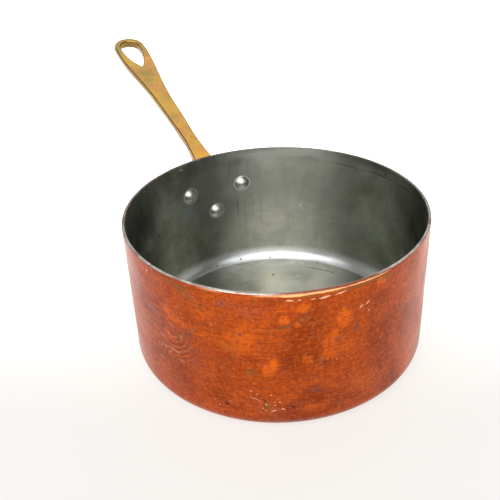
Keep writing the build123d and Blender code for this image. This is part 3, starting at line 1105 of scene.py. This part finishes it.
@dataclass
class Rivets:
    """The three rivets: one is turned as on a lathe and copied, and each copy is set square to the wall."""

    names: tuple[str, ...] = ("rivet_upper_left", "rivet_upper_right", "rivet_lower")
    head_radius: float = 5.6 * MM
    head_height: float = 3.8 * MM
    ring_radius: float = 5.9 * MM
    ring_height: float = 0.30 * MM
    ring_steps: int = 5
    shank_radius: float = 3.0 * MM
    tail_radius: float = 4.8 * MM
    tail_height: float = 2.2 * MM
    lining_radius: float = 98.05 * MM
    flange_radius: float = 104.4 * MM
    slack: float = 0.05 * MM  # between the rivet and what it holds
    tail_dents: float = 0.35 * MM
    head_dents: float = 0.12 * MM
    segments: int = 48
    dome_steps: int = 9
    seats: list[RivetSeat] = field(default_factory=list)

    def __post_init__(self) -> None:
        """Find the seats."""
        self.seats = [RivetSeat.of(name) for name in self.names]

    def build(self) -> None:
        """Make the three rivets."""
        pattern = self._turn()
        finish = TinnedRivet().make()
        for seat in self.seats:
            rivet = bpy.data.objects.new("set_" + seat.node, pattern.data.copy())
            bpy.context.collection.objects.link(rivet)
            self._set(rivet, seat)
            dress(rivet, "tinned_rivet", finish, seat.node)
        bpy.data.objects.remove(pattern)

    def _profile(self) -> list[tuple[float, float]]:
        """List the rivet's outline, from the tail's top to the head's.

        Returns:
            Each point's radius and its distance from the pan's axis.
        """
        points = self._dome(self.tail_radius, self.tail_height, self.flange_radius, 1)
        points += [
            (self.tail_radius, self.flange_radius - self.slack),
            (self.shank_radius, self.flange_radius - 2 * self.slack),
            (self.shank_radius, self.lining_radius + 2 * self.slack),
            (self.ring_radius, self.lining_radius + self.slack),
        ]
        flare = self.ring_radius - self.head_radius
        start = self.lining_radius - 0.06 * MM
        for step in range(self.ring_steps + 1):
            turn = math.radians(90 * step / self.ring_steps)
            points.append((self.ring_radius - flare * math.sin(turn) * 0.98,
                           start - self.ring_height * (1 - math.cos(turn))))
        rise = self.head_height - self.ring_height
        points += self._dome(self.head_radius, rise, self.lining_radius - self.ring_height, -1)[::-1]
        return points

    def _dome(self, radius: float, height: float, base: float, side: int) -> list[tuple[float, float]]:
        """List a dome's outline, from its top to its edge.

        Args:
            radius: The radius of its edge.
            height: How high it stands.
            base: The distance of its edge from the pan's axis.
            side: 1 for a dome that points away from the axis, -1 for one that points to it.

        Returns:
            Each point's radius and its distance from the pan's axis.
        """
        ball = (radius**2 + height**2) / (2 * height)
        spread = math.asin(min(1.0, radius / ball))
        points = []
        for step in range(self.dome_steps + 1):
            turn = spread * max(step, 0.25) / self.dome_steps
            points.append((ball * math.sin(turn), base + side * (height - ball + ball * math.cos(turn))))
        return points

    def _turn(self) -> Piece:
        """Turn the pattern rivet: a disc at the tail's top is extruded and scaled ring by ring to the head.

        Returns:
            The pattern, along Z.
        """
        (radius, height), *others = self._profile()
        clear_selection()
        bpy.ops.mesh.primitive_circle_add(vertices=self.segments, radius=radius, location=(0, 0, height),
                                          fill_type="TRIFAN")
        pattern = bpy.context.object
        settle(pattern)
        with editing(pattern, Pick.EDGES):
            edge = radius * 0.9
            select_edges(pattern, lambda a, b: a.xy.length > edge and b.xy.length > edge)
            for next_radius, next_height in others:
                rise, ratio = (0, 0, next_height - height), next_radius / radius
                bpy.ops.mesh.extrude_edges_move(TRANSFORM_OT_translate={"value": rise})
                bpy.ops.transform.resize(value=(ratio, ratio, 1), center_override=(0, 0, next_height))
                radius, height = next_radius, next_height
            bpy.ops.mesh.edge_face_add()
            bpy.ops.mesh.select_all(action="SELECT")
            bpy.ops.mesh.normals_make_consistent(inside=False)
        with editing(pattern, Pick.FACES):
            inner = self.lining_radius
            select_faces(pattern, lambda middle, normal: middle.xy.length < TOUCH and middle.z < inner)
            bpy.ops.mesh.poke()
        return pattern

    def _set(self, rivet: Piece, seat: RivetSeat) -> None:
        """Turn a rivet square to the wall, bend its faces to the wall, and hammer its head and tail.

        Args:
            rivet: The rivet, along Z.
            seat: Where it passes through the wall.
        """
        phase = seat.bearing * 7 + seat.height * 90
        away = outward(seat.bearing)
        across = Vector((-away.y, away.x, 0))

        def place(point: Vector) -> Vector:
            """Say where a point goes on the set rivet.

            Args:
                point: The point on the pattern.

            Returns:
                The point on the set rivet.
            """
            reach = point.z - point.y**2 / (2 * PAN_RADIUS)
            if point.z > self.flange_radius + 2 * TOUCH:
                reach += noise.noise(Vector((point.x * 420, point.y * 420, phase))) * self.tail_dents
            elif point.z < self.lining_radius:
                reach += noise.noise(Vector((point.x * 230, point.y * 230, phase))) * self.head_dents
            return away * reach + across * point.y + Vector((0, 0, seat.height - point.x))

        reshape(rivet, place)
        smooth(rivet, 50)


@dataclass
class CastHandle:
    """The brass handle: one casting, with its flange against the wall, its stem and its hanging eye."""

    slope: float = 18.2  # degrees above level
    root_drop: float = 14.4 * MM  # from the rim to the stem's top, at the wall
    flange: float = 6 * MM  # nearer the wall than this it keeps its exact shape
    voxel: float = 0.55 * MM
    softening: int = 6
    relief: float = 0.18 * MM

    def on_stem(self, station: float, across: float) -> Triple:
        """Give a point on the stem's flat top.

        Args:
            station: The distance up the stem from the wall, in millimetres.
            across: The distance to the left of the stem's middle, seen from the pan, in millimetres.

        Returns:
            The point, in metres.
        """
        slope = math.radians(self.slope)
        reach = PAN_RADIUS + station * MM * math.cos(slope)
        return reach, across * MM, PAN_HEIGHT - self.root_drop + station * MM * math.sin(slope)

    def build(self) -> None:
        """Cast the handle, soften its edges and give it a cast skin."""
        handle = bpy.data.objects.new("cast_handle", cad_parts["brass_handle"].data.copy())
        bpy.context.collection.objects.link(handle)
        with editing(handle):
            bpy.ops.mesh.select_all(action="SELECT")
            bpy.ops.mesh.remove_doubles(threshold=0.01 * MM)
        apply_modifier(handle, "REMESH", mode="VOXEL", voxel_size=self.voxel)
        apply_modifier(handle, "SMOOTH", factor=0.5, iterations=self.softening)
        reshape(handle, self._cast)
        smooth(handle, 60)
        dress(handle, "brass", MottledBrass().make(self), "brass_handle")

    def _cast(self, place: Vector) -> Vector:
        """Say where a point goes on a casting that was filed by hand.

        Args:
            place: The point on a true handle.

        Returns:
            The point on the casting.
        """
        if place.xy.length > PAN_RADIUS + self.flange:
            place.z += noise.noise(place * 45) * self.relief
            place.y += noise.noise(place * 38 + Vector((3, 7, 1))) * self.relief
        return place


@dataclass
class StudioCamera:
    """The camera: a normal lens, looking down into the pan from beyond the side facing the handle."""

    bearing: float = 151.952  # degrees round the pan from the handle
    distance: float = 0.41799  # from the pan's axis, level
    height: float = 0.32267
    heading: float = -115.623  # degrees, turned left from +Y
    tilt: float = 31.276  # degrees below level
    roll: float = -2.831
    lens: float = 51.785
    film: float = 36.0

    def build(self) -> None:
        """Place the camera and make it the scene's own."""
        data = bpy.data.cameras.new("studio_camera")
        data.lens = self.lens
        data.sensor_width = self.film
        data.dof.use_dof = False
        camera = bpy.data.objects.new("studio_camera", data)
        bpy.context.collection.objects.link(camera)
        stand = outward(math.radians(self.bearing)) * self.distance + Vector((0, 0, self.height))
        turn = Matrix()
        for angle, axis in ((self.heading, "Z"), (90 - self.tilt, "X"), (self.roll, "Z")):
            turn = turn @ Matrix.Rotation(math.radians(angle), 4, axis)
        camera.matrix_world = Matrix.Translation(stand) @ turn
        bpy.context.scene.camera = camera


@dataclass(frozen=True)
class SoftLight:
    """A broad soft light, far away."""

    bearing: float  # degrees round the pan from the handle
    height: float  # degrees above level
    core: float  # degrees from its middle to where it starts to fade
    reach: float  # degrees from its middle to its edge
    strength: float

    @property
    def direction(self) -> Triple:
        """The unit vector towards the light's middle."""
        bearing, rise = math.radians(self.bearing), math.radians(self.height)
        return math.cos(bearing) * math.cos(rise), math.sin(bearing) * math.cos(rise), math.sin(rise)

    def glow(self, sky: Nodes, direction: Socket, room: float) -> Socket:
        """Give the brightness under this light.

        Args:
            sky: The world's nodes.
            direction: The direction that is looked in.
            room: The brightness away from the light.

        Returns:
            The brightness in that direction.
        """
        edge, core = math.cos(math.radians(self.reach)), math.cos(math.radians(self.core))
        facing = sky.measure("DOT_PRODUCT", direction, self.direction)
        return sky.curve(facing, edge, core, room, self.strength)


@dataclass
class Studio:
    """A white sweep that glows a little, between two broad soft lights in a darker room."""

    floor_half_width: float = 4.0
    floor_drop: float = 0.02 * MM  # below the pan's base
    floor_tone: Triple = (0.26, 0.255, 0.25)
    floor_light: Triple = (1.0, 0.985, 0.95)
    floor_reach: float = 0.38  # from the pan to where the outer glow is at full strength
    glow_near: float = 0.68
    glow_far: float = 1.15
    glow_behind: float = 1.8
    behind: float = 331.952  # the bearing of the sweep's bright side, in degrees
    lights: tuple[SoftLight, ...] = (SoftLight(143.5, 32, 18, 58, 3.0), SoftLight(330, 58, 12, 40, 1.0))
    room: float = 0.05

    def build(self) -> None:
        """Lay the floor and set the light."""
        clear_selection()
        bpy.ops.mesh.primitive_plane_add(size=2 * self.floor_half_width, location=(0, 0, -self.floor_drop))
        floor = bpy.context.object
        floor.name = "floor"
        floor.data.materials.append(self._sweep())
        self._light()
        bpy.context.scene.view_settings.view_transform = "Standard"

    def _sweep(self) -> bpy.types.Material:
        """Build the floor's material: matt white that glows more strongly away from the pan.

        Returns:
            The finished material.
        """
        sheet = NodeSheet("white_sweep", self.floor_tone)
        along = sheet.measure("DOT_PRODUCT", sheet.place, outward(math.radians(self.behind)))
        away = sheet.curve(along, -0.10, 0.30, self.glow_near, self.glow_behind)
        far = sheet.math("SUBTRACT", 1.0, sheet.near((0, 0, 0), self.floor_reach))
        glow = sheet.math("MAXIMUM", away, sheet.times(far, self.glow_far))
        return sheet.finish(Roughness=0.7, Emission_Color=self.floor_light, Emission_Strength=glow)

    def _light(self) -> None:
        """Light the room from two sides, and let it look plain white from afar."""
        world = bpy.data.worlds.new("studio")
        bpy.context.scene.world = world
        world.use_nodes = True
        sky = Nodes(world.node_tree)
        lit = sky.tree.nodes["Background"]
        direction = sky.node("TexCoord", {}, "Generated")
        glows = [light.glow(sky, direction, self.room) for light in self.lights]
        sky.feed(lit.inputs["Strength"], sky.math("MAXIMUM", *glows))
        sky.feed(lit.inputs["Color"], WHITE)
        plain = sky.node("Background", {"Color": WHITE})
        seen = sky.node("LightPath", {}, "Is Camera Ray")
        shown = sky.node("MixShader", {0: seen, 1: lit.outputs[0], 2: plain})
        sky.feed(sky.tree.nodes["World Output"].inputs["Surface"], shown)


def main() -> None:
    """Build the studio and every piece, and report each one."""
    logging.basicConfig(level=logging.INFO, format="%(name)s: %(message)s")
    StudioCamera().build()
    Studio().build()
    rivets = Rivets()
    Pan().build(rivets.seats)
    CastHandle().build()
    rivets.build()


if __name__ == "__main__":
    main()
